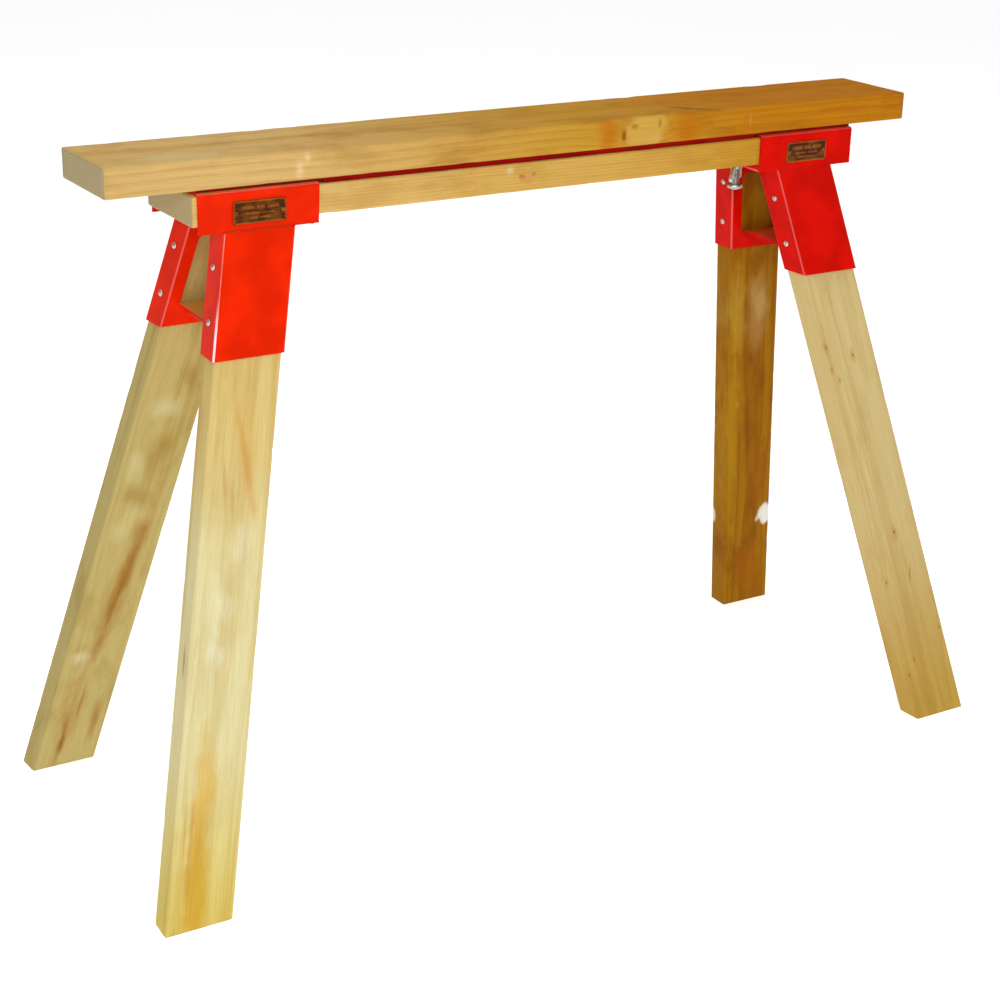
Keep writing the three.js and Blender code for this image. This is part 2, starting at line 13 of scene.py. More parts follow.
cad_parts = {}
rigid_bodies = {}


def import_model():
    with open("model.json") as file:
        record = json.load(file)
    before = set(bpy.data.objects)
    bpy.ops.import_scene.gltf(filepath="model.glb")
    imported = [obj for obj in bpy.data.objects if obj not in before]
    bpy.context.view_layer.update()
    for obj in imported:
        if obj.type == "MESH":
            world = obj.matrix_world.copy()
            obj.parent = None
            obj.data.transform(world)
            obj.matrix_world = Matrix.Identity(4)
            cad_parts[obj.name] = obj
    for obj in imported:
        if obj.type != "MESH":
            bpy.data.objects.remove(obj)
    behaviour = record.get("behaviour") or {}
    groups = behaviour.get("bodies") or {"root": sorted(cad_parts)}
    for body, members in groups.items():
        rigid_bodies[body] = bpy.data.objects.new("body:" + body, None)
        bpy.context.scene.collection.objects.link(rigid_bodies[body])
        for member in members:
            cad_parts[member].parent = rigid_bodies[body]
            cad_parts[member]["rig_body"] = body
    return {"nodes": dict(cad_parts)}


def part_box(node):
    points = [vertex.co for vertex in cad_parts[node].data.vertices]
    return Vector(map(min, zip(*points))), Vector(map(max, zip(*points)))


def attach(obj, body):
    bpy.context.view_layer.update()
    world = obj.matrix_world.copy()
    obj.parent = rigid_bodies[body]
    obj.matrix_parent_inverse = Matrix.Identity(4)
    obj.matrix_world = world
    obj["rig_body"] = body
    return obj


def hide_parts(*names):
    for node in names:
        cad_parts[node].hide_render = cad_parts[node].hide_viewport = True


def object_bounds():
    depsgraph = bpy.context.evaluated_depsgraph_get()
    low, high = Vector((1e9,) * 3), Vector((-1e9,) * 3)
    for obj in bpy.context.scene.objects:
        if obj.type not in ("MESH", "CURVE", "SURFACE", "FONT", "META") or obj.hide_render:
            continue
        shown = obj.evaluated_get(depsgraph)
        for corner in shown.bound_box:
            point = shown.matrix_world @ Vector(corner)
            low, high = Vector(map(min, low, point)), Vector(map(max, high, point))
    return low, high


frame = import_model()
cad_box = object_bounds()

MM = 0.001
SIDES = ("left", "right")
ENDS = ("front", "back")
BOARD_SEEDS = {"top_plank": 1.3, "rail": 4.1, "leg_front_left": 7.7, "leg_back_left": 11.2,
               "leg_front_right": 16.4, "leg_back_right": 21.9}

EASED_EDGE = 3 * MM            # rounding of the boards' long edges
SAW_EDGE = 0.7 * MM            # rounding of their sawn ends
SHARP = math.radians(35)       # edges turned by more than this get a bevel
SHEET_BEVEL = 0.4 * MM
PIN_BEVEL = 0.3 * MM
WING_BEVEL = 0.9 * MM
DOME = 0.62                    # height of a screw's head over its radius
SCREW_PITCH = 1.5 * MM
BOLT_RADIUS = 6 * MM
BOLT_PITCH = 1.75 * MM
BOLT_THREAD = 1.0 * MM         # depth of its machine thread
LAG_PITCH = 4.2 * MM
LAG_THREAD = 1.3 * MM
NUT_FLATS = 19 * MM
NUT_CHAMFER = 0.9 * MM         # at the bore
PLATE_RIM = 1.8 * MM           # nameplate's raised border
PLATE_RELIEF = 0.4 * MM        # and how far it stands up


# ---- Meshes ----------------------------------------------------------------------------------

def cad_mesh(node):
    """A clean copy of a CAD node's mesh: shared vertices, and one face per flat surface."""
    mesh = bmesh.new()
    mesh.from_mesh(frame["nodes"][node].data)
    bmesh.ops.remove_doubles(mesh, verts=mesh.verts, dist=0.01 * MM)
    bmesh.ops.dissolve_limit(mesh, angle_limit=math.radians(1), verts=mesh.verts, edges=mesh.edges)
    return mesh


def placed(name, data):
    """A new object in the scene."""
    made = bpy.data.objects.new(name, data)
    bpy.context.scene.collection.objects.link(made)
    return made


def shown(node, mesh, material):
    """Turn a bmesh into the piece that stands for a CAD node."""
    name = node + "_shown"
    data = bpy.data.meshes.new(name)
    bmesh.ops.recalc_face_normals(mesh, faces=mesh.faces)
    mesh.to_mesh(data)
    mesh.free()
    data.shade_smooth()
    data.materials.append(material)
    piece = placed(name, data)
    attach(piece, frame["nodes"][node]["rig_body"])
    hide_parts(node)
    return piece


def sharp_edges(mesh):
    return [e for e in mesh.edges if len(e.link_faces) == 2 and e.calc_face_angle() > SHARP]


def soften(mesh, width, segments=2):
    """Round a mesh's sharp edges."""
    bmesh.ops.bevel(mesh, geom=sharp_edges(mesh), offset=width, offset_type="OFFSET",
                    segments=segments, profile=0.5, affect="EDGES", clamp_overlap=True)


def weigh_normals(piece):
    """Keep flat faces looking flat between their rounded edges."""
    modifier = piece.modifiers.new("weighted_normals", "WEIGHTED_NORMAL")
    modifier.keep_sharp = True
    modifier.weight = 100


def softened(node, width, material, segments=2):
    """A CAD node with its sharp edges rounded."""
    mesh = cad_mesh(node)
    soften(mesh, width, segments)
    piece = shown(node, mesh, material)
    weigh_normals(piece)
    return piece


def bridge(mesh, lower, upper):
    """Join two rings of the same number of vertices with quads."""
    count = len(lower)
    for i in range(count):
        j = (i + 1) % count
        mesh.faces.new((lower[i], lower[j], upper[j], upper[i]))


def lathe(profile, segments=32, closed=False):
    """Spin a profile of (radius, height) points about +z. An open profile ends on the axis."""
    mesh = bmesh.new()
    rings = []
    for radius, height in profile:
        if radius < 1e-7:
            rings.append([mesh.verts.new((0, 0, height))])
            continue
        turns = [2 * math.pi * i / segments for i in range(segments)]
        rings.append([
            mesh.verts.new((radius * math.cos(t), radius * math.sin(t), height)) for t in turns])
    pairs = list(zip(rings, rings[1:]))
    if closed:
        pairs.append((rings[-1], rings[0]))
    for lower, upper in pairs:
        if len(lower) == 1 or len(upper) == 1:
            tip, ring = (lower[0], upper) if len(lower) == 1 else (upper[0], lower)
            for i in range(segments):
                mesh.faces.new((tip, ring[i], ring[(i + 1) % segments]))
        else:
            bridge(mesh, lower, upper)
    return mesh


def centre_over(mesh, low, high):
    """Move a mesh built about the z axis to the middle of a CAD box."""
    mesh.transform(Matrix.Translation(((low.x + high.x) / 2, (low.y + high.y) / 2, 0)))


def node_points(node):
    return [v.co.copy() for v in frame["nodes"][node].data.vertices]


def centroid(points):
    return sum(points, Vector()) / len(points)


# ---- Shader graphs ---------------------------------------------------------------------------

class Graph:
    """A material's node tree, with one short method for each kind of node used here."""

    def __init__(self, name):
        self.material = bpy.data.materials.new(name)
        self.material.use_nodes = True
        self.nodes = self.material.node_tree.nodes
        self.links = self.material.node_tree.links
        self.nodes.clear()
        output = self.nodes.new("ShaderNodeOutputMaterial")
        self.shader = self.nodes.new("ShaderNodeBsdfPrincipled")
        self.links.new(self.shader.outputs[0], output.inputs["Surface"])

    def put(self, socket, value):
        """Link a socket to another, or set it to a constant."""
        if isinstance(value, bpy.types.NodeSocket):
            self.links.new(value, socket)
        else:
            socket.default_value = value

    def surface(self, name, value):
        """Set one of the surface shader's own inputs."""
        self.put(self.shader.inputs[name], value)

    def math(self, operation, first, second=0.0, third=0.0):
        node = self.nodes.new("ShaderNodeMath")
        node.operation = operation
        for socket, value in zip(node.inputs, (first, second, third)):
            self.put(socket, value)
        return node.outputs[0]

    def times(self, first, second):
        return self.math("MULTIPLY", first, second)

    def total(self, values):
        result = values[0]
        for value in values[1:]:
            result = self.math("ADD", result, value)
        return result

    def vector_math(self, operation, first, second, output=0):
        node = self.nodes.new("ShaderNodeVectorMath")
        node.operation = operation
        self.put(node.inputs[0], first)
        self.put(node.inputs[1], second)
        return node.outputs[output]

    def scaled(self, vector, factors):
        return self.vector_math("MULTIPLY", vector, factors)

    def noise(self, vector, scale, detail=3.0, roughness=0.5):
        node = self.nodes.new("ShaderNodeTexNoise")
        self.put(node.inputs["Vector"], vector)
        node.inputs["Scale"].default_value = scale
        node.inputs["Detail"].default_value = detail
        node.inputs["Roughness"].default_value = roughness
        return node.outputs["Fac"]

    def remap(self, value, low, high, to_low=0.0, to_high=1.0):
        """Smooth step from low to high."""
        node = self.nodes.new("ShaderNodeMapRange")
        node.interpolation_type = "SMOOTHSTEP"
        for socket, number in zip(node.inputs, (value, low, high, to_low, to_high)):
            self.put(socket, number)
        return node.outputs[0]

    def mix(self, factor, first, second, blend="MIX"):
        node = self.nodes.new("ShaderNodeMix")
        node.data_type = "RGBA"
        node.blend_type = blend
        self.put(node.inputs["Factor"], factor)
        self.put(node.inputs[6], first)
        self.put(node.inputs[7], second)
        return node.outputs[2]

    def curve(self, value, stops):
        """A grey ramp through (position, level) stops."""
        node = self.nodes.new("ShaderNodeValToRGB")
        self.put(node.inputs[0], value)
        ramp = node.color_ramp
        while len(ramp.elements) < len(stops):
            ramp.elements.new(0.5)
        for element, (position, level) in zip(ramp.elements, stops):
            element.position = position
            element.color = (level, level, level, 1)
        return node.outputs[0]

    def grey(self, value):
        node = self.nodes.new("ShaderNodeCombineXYZ")
        for socket in node.inputs:
            self.put(socket, value)
        return node.outputs[0]

    def length(self, first, second):
        """Length of a vector with these two parts."""
        return self.math("SQRT", self.math("ADD", self.times(first, first),
                                           self.times(second, second)))

    def attribute(self, name):
        node = self.nodes.new("ShaderNodeAttribute")
        node.attribute_name = name
        return node

    def axes(self, vector):
        node = self.nodes.new("ShaderNodeSeparateXYZ")
        self.put(node.inputs[0], vector)
        return node.outputs[:3]

    def relief(self, height, distance, strength=1.0):
        node = self.nodes.new("ShaderNodeBump")
        self.put(node.inputs["Height"], height)
        node.inputs["Distance"].default_value = distance
        node.inputs["Strength"].default_value = strength
        self.links.new(node.outputs[0], self.shader.inputs["Normal"])

    def object_place(self):
        return self.nodes.new("ShaderNodeTexCoord").outputs["Object"]


def rgb(red, green, blue):
    """An sRGB colour, 0 to 255, as linear light with alpha."""
    def linear(value):
        value /= 255
        return value / 12.92 if value <= 0.04045 else ((value + 0.055) / 1.055) ** 2.4
    return (linear(red), linear(green), linear(blue), 1.0)


# ---- Wood ------------------------------------------------------------------------------------

CORNER_STEPS = 5
FLAT_STEPS = 12
EDGE_STEPS = 5
STATION = 14 * MM


def section_points(half_width, half_thick):
    """Outline of a board's section as (x, y, outward normal, is_corner) round the board."""
    inner_x, inner_y = half_width - EASED_EDGE, half_thick - EASED_EDGE
    points = []
    for quarter, (cx, cy) in enumerate(((1, 1), (-1, 1), (-1, -1), (1, -1))):
        for step in range(CORNER_STEPS + 1):
            turn = math.pi / 2 * (quarter + step / CORNER_STEPS)
            normal = Vector((math.cos(turn), math.sin(turn)))
            corner = Vector((cx * inner_x, cy * inner_y)) + normal * EASED_EDGE
            points.append((corner, normal, True))
        start = points[-1][0]
        normal = points[-1][1]
        following = ((-1, 1), (-1, -1), (1, -1), (1, 1))[quarter]
        end = Vector((following[0] * inner_x, following[1] * inner_y)) + normal * EASED_EDGE
        steps = FLAT_STEPS if quarter % 2 == 0 else EDGE_STEPS
        for step in range(1, steps):
            points.append((start.lerp(end, step / steps), normal, False))
    return points


def wear(place, seed, is_corner):
    """How far the surface has sunk at a place in the board, in metres."""
    soft = 0.5 + 0.5 * noise.noise(Vector((place.x * 25, place.y * 25, place.z * 6 + seed)))
    depth = 0.05 * MM + 0.22 * MM * soft
    if is_corner:
        knock = noise.noise(Vector((place.x * 40, place.y * 40, place.z * 38 - seed * 3)))
        depth += 1.6 * MM * max(0.0, knock - 0.28)
    return depth


def board(node, axes, size, cuts, material):
    """A sawn board lofted along its grain.

    axes is (origin, across, out, along); size is (width, thickness); cuts gives the two end
    planes' heights along the board at a place (x, y) in its section.
    """
    origin, across, out, along = axes
    outline = section_points(size[0] / 2, size[1] / 2)
    length = cuts[1](0, 0) - cuts[0](0, 0)
    count = max(8, round(length / STATION))
    seed = BOARD_SEEDS[node]
    mesh = bmesh.new()
    grain = mesh.verts.layers.float_vector.new("board")
    cap = mesh.verts.layers.float.new("cap")

    def vertex(x, y, z, on_cap):
        made = mesh.verts.new(origin + across * x + out * y + along * z)
        made[grain] = Vector((x, y, z))
        made[cap] = on_cap
        return made

    def ring(station):
        made = []
        for point, normal, is_corner in outline:
            low, high = cuts[0](*point), cuts[1](*point)
            z = low + SAW_EDGE + (high - low - 2 * SAW_EDGE) * station
            sunk = point - normal * wear(Vector((point.x, point.y, z)), seed, is_corner)
            made.append(vertex(sunk.x, sunk.y, z, 0.0))
        return made

    def end_ring(which, scale):
        made = []
        for point, normal, _ in outline:
            spot = (point - normal * (SAW_EDGE + 0.2 * MM)) * scale
            rough = 0.12 * MM * noise.noise(Vector((spot.x * 300, spot.y * 300, seed + which)))
            sink = 0.15 * MM + rough
            z = cuts[which](*spot) + (sink if which == 0 else -sink)
            made.append(vertex(spot.x, spot.y, z, 1.0))
        return made

    rings = [ring(i / count) for i in range(count + 1)]
    for lower, upper in zip(rings, rings[1:]):
        bridge(mesh, lower, upper)
    for which, side_ring in ((0, rings[0]), (1, rings[-1])):
        previous = side_ring
        for scale in (1.0, 0.8, 0.5, 0.2):
            following = end_ring(which, scale)
            bridge(mesh, previous, following)
            previous = following
        mesh.faces.new(previous)
    return shown(node, mesh, material)


def ring_shells(graph, seeded, x, y, pith, ring, push):
    """Late wood, from 0 to 1: thin dark shells round the tree's pith, pushed out by knots."""
    wander = graph.noise(graph.scaled(seeded, (5, 5, 1.1)), 1.0, 2.0)
    ripple = graph.noise(graph.scaled(seeded, (30, 30, 3.0)), 1.0, 2.0)
    radius = graph.total([
        graph.length(graph.math("SUBTRACT", x, pith[0]), graph.math("SUBTRACT", y, pith[1])),
        graph.times(wander, 26 * MM), graph.times(ripple, 2.2 * MM), *push])
    uneven = graph.noise(graph.scaled(seeded, (0.0, 0.0, 0.4)), 1.0)
    year = graph.math("FRACT", graph.math("ADD", graph.math("DIVIDE", radius, ring), uneven))
    return graph.curve(year, ((0.0, 0.0), (0.45, 0.12), (0.8, 0.75), (0.92, 1.0), (1.0, 0.0)))


def knot_field(graph, x, y, z, knot):
    """Distance from a knot's middle, over its radius, and how much of the knot shows here."""
    across = y if knot["face"] == "edge" else x
    along = graph.times(graph.math("SUBTRACT", z, knot["z"]), knot["squeeze"])
    distance = graph.math("DIVIDE", graph.length(
        graph.math("SUBTRACT", across, knot["u"]), along), knot["radius"])
    through = x if knot["face"] == "edge" else y
    return distance, graph.remap(through, *knot["limit"])


def knot_push(graph, knot, distance, seen):
    """How far the rings bulge round a knot."""
    fall = graph.math("EXPONENT", graph.times(distance, -0.75))
    bulge = graph.times(fall, knot["radius"] * 1.5)
    return graph.times(bulge, seen)


def draw_knot(graph, colour, ragged, knot, distance, seen):
    """A knot's own rings, and any bark round it. Gives the new colour and the bark's mask."""
    edge = graph.math("ADD", distance, graph.times(ragged, 0.5))
    core = graph.times(graph.remap(edge, 1.08, 0.86), seen)
    swirl = graph.math("FRACT", graph.times(edge, 3.4))
    heart = graph.mix(swirl, knot["colour"], knot["heart"])
    colour = graph.mix(graph.times(core, knot["amount"]), colour, heart)
    if "bark" not in knot:
        return colour, 0.0
    rim = graph.curve(edge, ((0.0, 0.0), (0.55, 0.0), (0.68, 1.0), (0.8, 0.0), (1.0, 0.0)))
    bark = graph.times(graph.times(rim, knot["rim"]), seen)
    return graph.mix(bark, colour, knot["bark"]), bark


def stain(u, z, wide, long, amount, colour, slope=0.0, core=0.2, ragged=1.2, limit=None,
          face="wide"):
    """A soft spot or streak, wide across the face and long up it; slope leans it across.

    u is the place across the face: the board's x on a wide face, and its y on an edge. limit
    is where the other of the two fades it in. core is where it is full, over its reach, and a
    core below 0 never is; ragged breaks its outline up.
    """
    return dict(u=u, z=z, wide=wide, long=long, amount=amount, colour=colour, slope=slope,
                core=core, ragged=ragged, limit=limit, face=face)


def draw_stain(graph, colour, ragged, place, spot):
    """The colour with one stain over it."""
    x, y, z = place
    across, through = (y, x) if spot["face"] == "edge" else (x, y)
    up = graph.math("SUBTRACT", z, spot["z"])
    middle = graph.math("MULTIPLY_ADD", up, spot["slope"], spot["u"])
    reach = graph.length(
        graph.math("DIVIDE", graph.math("SUBTRACT", across, middle), spot["wide"]),
        graph.math("DIVIDE", up, spot["long"]))
    reach = graph.math("ADD", reach, graph.times(ragged, spot["ragged"]))
    mask = graph.remap(reach, 1.0, spot["core"], 0.0, spot["amount"])
    if spot["limit"]:
        mask = graph.times(mask, graph.remap(through, *spot["limit"]))
    return graph.mix(mask, colour, spot["colour"])


def end_grain(graph, late, pores):
    """Colour of a sawn end: its rings, with open pores over them."""
    tone = graph.mix(graph.times(late, 0.45), rgb(182, 166, 126), rgb(148, 128, 88))
    return graph.mix(graph.remap(pores, 0.45, 0.7, 0.0, 0.35), tone, rgb(122, 104, 70))


def wood(name, node, tones, ring, pith, contrast, mottle=0.5, knots=(), stains=(), fades=()):
    """Sawn softwood. The board's own x, y, z are its width, thickness and length.

    tones are the light, dark and tinted wood; fades give a colour that the light wood turns to
    from one place along the board to another.
    """
    light, dark, tint = tones
    seed = BOARD_SEEDS[node]
    graph = Graph(name)
    place = graph.attribute("board").outputs["Vector"]
    cap = graph.attribute("cap").outputs["Fac"]
    x, y, z = graph.axes(place)
    seeded = graph.vector_math("ADD", place, (seed, seed * 1.7, seed * 2.3))
    fields = [(knot, *knot_field(graph, x, y, z, knot)) for knot in knots]
    push = [knot_push(graph, *field) for field in fields]
    late = ring_shells(graph, seeded, x, y, pith, ring, push)

    fibre = graph.noise(graph.scaled(seeded, (900, 900, 14)), 1.0, 4.0, 0.6)
    streak = graph.noise(graph.scaled(seeded, (55, 55, 1.5)), 1.0, 3.0, 0.55)
    cloud = graph.noise(graph.scaled(seeded, (22, 22, 9)), 1.0, 4.0, 0.6)
    haze = graph.noise(graph.scaled(seeded, (34, 34, 16)), 1.0, 2.0, 0.5)
    ragged = graph.math("SUBTRACT", graph.noise(graph.scaled(seeded, (60, 60, 26)), 1.0, 3.0), 0.5)

    colour = graph.mix(graph.times(late, contrast), light, dark)
    colour = graph.mix(graph.remap(streak, 0.50, 0.72, 0.0, 0.7), colour, tint)
    colour = graph.mix(graph.remap(cloud, 0.46, 0.68, 0.0, mottle), colour, dark)
    colour = graph.mix(graph.remap(haze, 0.50, 0.70, 0.0, mottle * 0.7), colour, light)
    for far_colour, start, end in fades:
        change = tuple(far / near for far, near in zip(far_colour, light))
        colour = graph.mix(graph.remap(z, start, end), colour, change, "MULTIPLY")
    for spot in stains:
        colour = draw_stain(graph, colour, ragged, (x, y, z), spot)
    height = graph.total([graph.times(late, 0.45), graph.times(fibre, 0.55)])
    for field in fields:
        colour, bark = draw_knot(graph, colour, ragged, *field)
        height = graph.math("SUBTRACT", height, graph.times(bark, 0.8))
    fleck = graph.remap(fibre, 0.25, 0.75, 0.88, 1.08)
    colour = graph.mix(1.0, colour, graph.grey(fleck), "MULTIPLY")

    pores = graph.noise(graph.scaled(seeded, (700, 700, 700)), 1.0, 2.0)
    colour = graph.mix(cap, colour, end_grain(graph, late, pores))
    height = graph.math("ADD", height, graph.times(graph.times(pores, cap), 1.5))
    graph.surface("Base Color", colour)
    graph.surface("Roughness", graph.remap(fibre, 0.2, 0.8, 0.6, 0.78))
    graph.surface("Specular IOR Level", 0.05)
    graph.relief(height, 0.3 * MM, 0.7)
    return graph.material


def beam_axes(node):
    """A level board's left end, across, out (up) and along."""
    low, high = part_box(node)
    origin = Vector((low.x, (low.y + high.y) / 2, (low.z + high.z) / 2))
    return origin, Vector((0, 1, 0)), Vector((0, 0, 1)), Vector((1, 0, 0))


def flat_board(node, material):
    low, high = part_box(node)
    size = (high.y - low.y, high.z - low.z)
    cuts = (lambda x, y: 0.0, lambda x, y: high.x - low.x)
    return board(node, beam_axes(node), size, cuts, material)


def leg_axes(node):
    """Foot's middle, across, out and up the leg, from the CAD leg's two level ends."""
    points = node_points(node)
    low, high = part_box(node)
    foot = centroid(outline_at(points, low.z))
    head = centroid(outline_at(points, high.z))
    along = (head - foot).normalized()
    out = along.cross(Vector((1, 0, 0))).normalized()
    if out.y * foot.y < 0:
        out.negate()
    across = out.cross(along)
    return foot, across, out, along


def outline_at(points, level):
    """The points of a level end that are furthest out, one for each place."""
    ring = {(round(p.x, 5), round(p.y, 5)): p for p in points if abs(p.z - level) < 0.02 * MM}
    return list(ring.values())


def extent(points, origin, axis):
    """How far the points spread along an axis."""
    reach = [(p - origin).dot(axis) for p in points]
    return max(reach) - min(reach)


def leg(node, material):
    """A splayed board, cut level at both ends like its CAD body."""
    low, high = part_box(node)
    axes = leg_axes(node)
    origin, across, out, along = axes
    ring = outline_at(node_points(node), low.z)
    size = (extent(ring, origin, across), extent(ring, origin, out))

    def level(height):
        return lambda x, y: (height - across.z * x - out.z * y) / along.z

    return board(node, axes, size, (level(low.z), level(high.z)), material)


# ---- Steel -----------------------------------------------------------------------------------

def turned_edge(graph):
    """1 on the sharp edges of a sheet, 0 on its flats."""
    rounding = graph.nodes.new("ShaderNodeBevel")
    rounding.samples = 6
    rounding.inputs["Radius"].default_value = 1.2 * MM
    facing = graph.nodes.new("ShaderNodeNewGeometry").outputs["Normal"]
    turned = graph.vector_math("DOT_PRODUCT", rounding.outputs[0], facing, "Value")
    return graph.remap(turned, 0.995, 0.86)


def folded(graph, normal):
    """1 on the round of a fold, 0 on a sheet's flats, whose normals lie near an axis."""
    sizes = [graph.math("ABSOLUTE", part) for part in graph.axes(normal)]
    largest = graph.math("MAXIMUM", graph.math("MAXIMUM", sizes[0], sizes[1]), sizes[2])
    return graph.remap(largest, 0.94, 0.84)


def enamel(name, colour, deep, tan_film=0.0, worn=0.3, wear_and_painted_highlight=None):
    """Glossy sprayed enamel over sheet steel, thin along the edges, with a tan film on faces that
    lie level.

    The last argument gives the (start, end) in x, and in z, over which the round of a fold is
    painted near-white: a painted highlight.
    """
    graph = Graph(name)
    place = graph.object_place()
    peel = graph.noise(place, 260.0, 2.0)
    sag = graph.noise(place, 22.0, 2.0)
    patch = graph.noise(place, 70.0, 4.0, 0.65)
    grime = graph.noise(place, 420.0, 4.0, 0.7)
    body = graph.mix(graph.remap(sag, 0.35, 0.7), colour, deep)
    edge = turned_edge(graph)
    chip = graph.times(edge, graph.remap(patch, 0.56, 0.66, 0.0, worn))
    body = graph.mix(graph.times(edge, 0.3), body, deep)
    body = graph.mix(graph.remap(grime, 0.70, 0.78, 0.0, 0.3), body, rgb(150, 26, 2))
    body = graph.mix(chip, body, rgb(84, 58, 50))
    rough = graph.math("ADD", graph.remap(peel, 0.3, 0.7, 0.20, 0.26), graph.times(chip, 0.3))
    normal = graph.nodes.new("ShaderNodeTexCoord").outputs["Normal"]
    # A tan film on faces that lie level.
    if tan_film:
        up = graph.axes(normal)[2]
        film = graph.times(graph.remap(up, 0.97, 0.995),
                          graph.remap(patch, 0.15, 0.6, 0.6 * tan_film, tan_film))
        body = graph.mix(film, body, rgb(192, 158, 82))
        rough = graph.math("ADD", rough, graph.times(film, 0.6))
    fold = folded(graph, normal)
    # Painted highlight: near-white paint on the round of a fold, within the given span.
    if wear_and_painted_highlight:
        x, _, z = graph.axes(place)
        bright = graph.times(graph.remap(x, *wear_and_painted_highlight[0]), graph.remap(z, *wear_and_painted_highlight[1]))
        body = graph.mix(graph.times(fold, bright), body, rgb(246, 232, 240))
    graph.surface("Base Color", body)
    graph.surface("Roughness", rough)
    graph.surface("Specular IOR Level", graph.math("ADD", fold, 0.02))
    height = graph.total([graph.times(peel, 0.35), sag, graph.times(chip, -1.0)])
    graph.relief(height, 0.1 * MM, 0.25)
    return graph.material


def zinc(name, colour=rgb(196, 202, 194), shade=rgb(138, 148, 138), rough=0.28):
    """Bright zinc plate with a faint greenish passivation and handling marks."""
    graph = Graph(name)
    place = graph.object_place()
    cloud = graph.noise(place, 180.0, 3.0, 0.6)
    speck = graph.noise(place, 1500.0, 3.0, 0.6)
    body = graph.mix(graph.remap(cloud, 0.35, 0.7), colour, shade)
    body = graph.mix(graph.remap(speck, 0.62, 0.72, 0.0, 0.35), body, rgb(84, 84, 78))
    graph.surface("Base Color", body)
    graph.surface("Roughness", graph.remap(speck, 0.3, 0.7, rough, rough + 0.16))
    graph.surface("Metallic", 0.92)
    graph.relief(speck, 0.03 * MM, 0.5)
    return graph.material


def brass(name, colour, shade, rough=0.36, wear_and_painted_highlight=None):
    """Old brass, bright where it is rubbed and brown where it isn't.

    With a rubbed colour, parts whose "raised" attribute is 1 take it.
    """
    graph = Graph(name)
    place = graph.object_place()
    patina = graph.noise(graph.scaled(place, (60, 60, 130)), 1.0, 4.0, 0.6)
    brushed = graph.noise(graph.scaled(place, (60, 900, 2400)), 1.0, 3.0, 0.6)
    body = graph.mix(graph.remap(patina, 0.40, 0.70), shade, colour)
    body = graph.mix(graph.remap(brushed, 0.4, 0.7, 0.0, 0.3), body, shade)
    if wear_and_painted_highlight:
        raised = graph.attribute("raised").outputs["Fac"]
        worn = graph.times(raised, graph.remap(patina, 0.25, 0.6, 0.35, 0.9))
        body = graph.mix(worn, body, wear_and_painted_highlight)
    graph.surface("Base Color", body)
    graph.surface("Roughness", graph.remap(brushed, 0.3, 0.7, rough, rough + 0.2))
    graph.surface("Metallic", 0.6)
    graph.surface("Specular IOR Level", 0.2)
    graph.relief(brushed, 0.03 * MM, 0.6)
    return graph.material


# ---- Screws, bolts and nuts ------------------------------------------------------------------

def axis_frame(node):
    """Where a screw's head is and which way it points, from its CAD body."""
    points = node_points(node)
    middle = centroid(points)
    apex = max(points, key=lambda p: (p - middle).length)
    tip = max(points, key=lambda p: (p - apex).length)
    ends = sorted((apex, tip), key=lambda end: -head_size(points, end, (apex - tip).normalized()))
    head, point = ends
    return head, (head - point).normalized(), (head - point).length


def head_size(points, end, axis):
    """Largest radius near one end of a turned body."""
    near = [p - end for p in points if abs((p - end).dot(axis)) < 3.2 * MM]
    return max((offset - axis * offset.dot(axis)).length for offset in near)


def shank_size(points, head, axis, length):
    """Radius of a turned body below its head."""
    below = [p - head for p in points if (head - p).dot(axis) > 0.4 * length]
    return max((offset - axis * offset.dot(axis)).length for offset in below)


def turned_matrix(place, axis, spin):
    """Stands +z along an axis, at a place, spun about it."""
    turn = axis.to_track_quat("Z", "Y").to_matrix().to_4x4()
    return Matrix.Translation(place) @ turn @ Matrix.Rotation(spin, 4, "Z")


def screw_mesh(length, head_radius, shank_radius):
    """Round-head slotted wood screw, its apex at the origin, pointing down -z."""
    dome = DOME * head_radius
    arc = [(head_radius * math.sin(a), dome * (math.cos(a) - 1))
           for a in [math.pi / 2 * i / 9 for i in range(10)]]
    shank = [(shank_radius, -dome - 0.3 * MM), (shank_radius, -length * 0.45)]
    z = -length * 0.45
    while z > -length + 3 * SCREW_PITCH:
        shank += [(shank_radius * 0.72, z - SCREW_PITCH * 0.5), (shank_radius, z - SCREW_PITCH)]
        z -= SCREW_PITCH
    profile = arc + [(head_radius, -dome - 0.05 * MM)] + shank + [(0.0, -length)]
    mesh = lathe(profile, 28)
    return mesh, dome


def cut_slot(piece, matrix, wide, deep, long):
    """Saw a driver slot across a head with a boolean, and keep the result."""
    cutter_data = bpy.data.meshes.new("slot_cutter")
    cutter_mesh = bmesh.new()
    bmesh.ops.create_cube(cutter_mesh, size=1.0)
    bmesh.ops.scale(cutter_mesh, vec=(long, wide, 2 * deep), verts=cutter_mesh.verts)
    cutter_mesh.transform(matrix)
    cutter_mesh.to_mesh(cutter_data)
    cutter_mesh.free()
    cutter = placed("slot_cutter", cutter_data)
    modifier = piece.modifiers.new("slot", "BOOLEAN")
    modifier.object = cutter
    modifier.operation = "DIFFERENCE"
    modifier.solver = "EXACT"
    evaluated = piece.evaluated_get(bpy.context.evaluated_depsgraph_get())
    result = bpy.data.meshes.new_from_object(evaluated)
    piece.modifiers.clear()
    piece.data = result
    bpy.data.objects.remove(cutter)


def round_screw(node, material, spin):
    head, axis, length = axis_frame(node)
    points = node_points(node)
    radius = head_size(points, head, axis)
    shank = shank_size(points, head, axis, length)
    mesh, dome = screw_mesh(length, radius, shank)
    matrix = turned_matrix(head, axis, spin)
    mesh.transform(matrix)
    piece = shown(node, mesh, material)
    cut_slot(piece, matrix, radius * 0.24, dome * 0.55, radius * 2.4)
    weigh_normals(piece)
    return piece


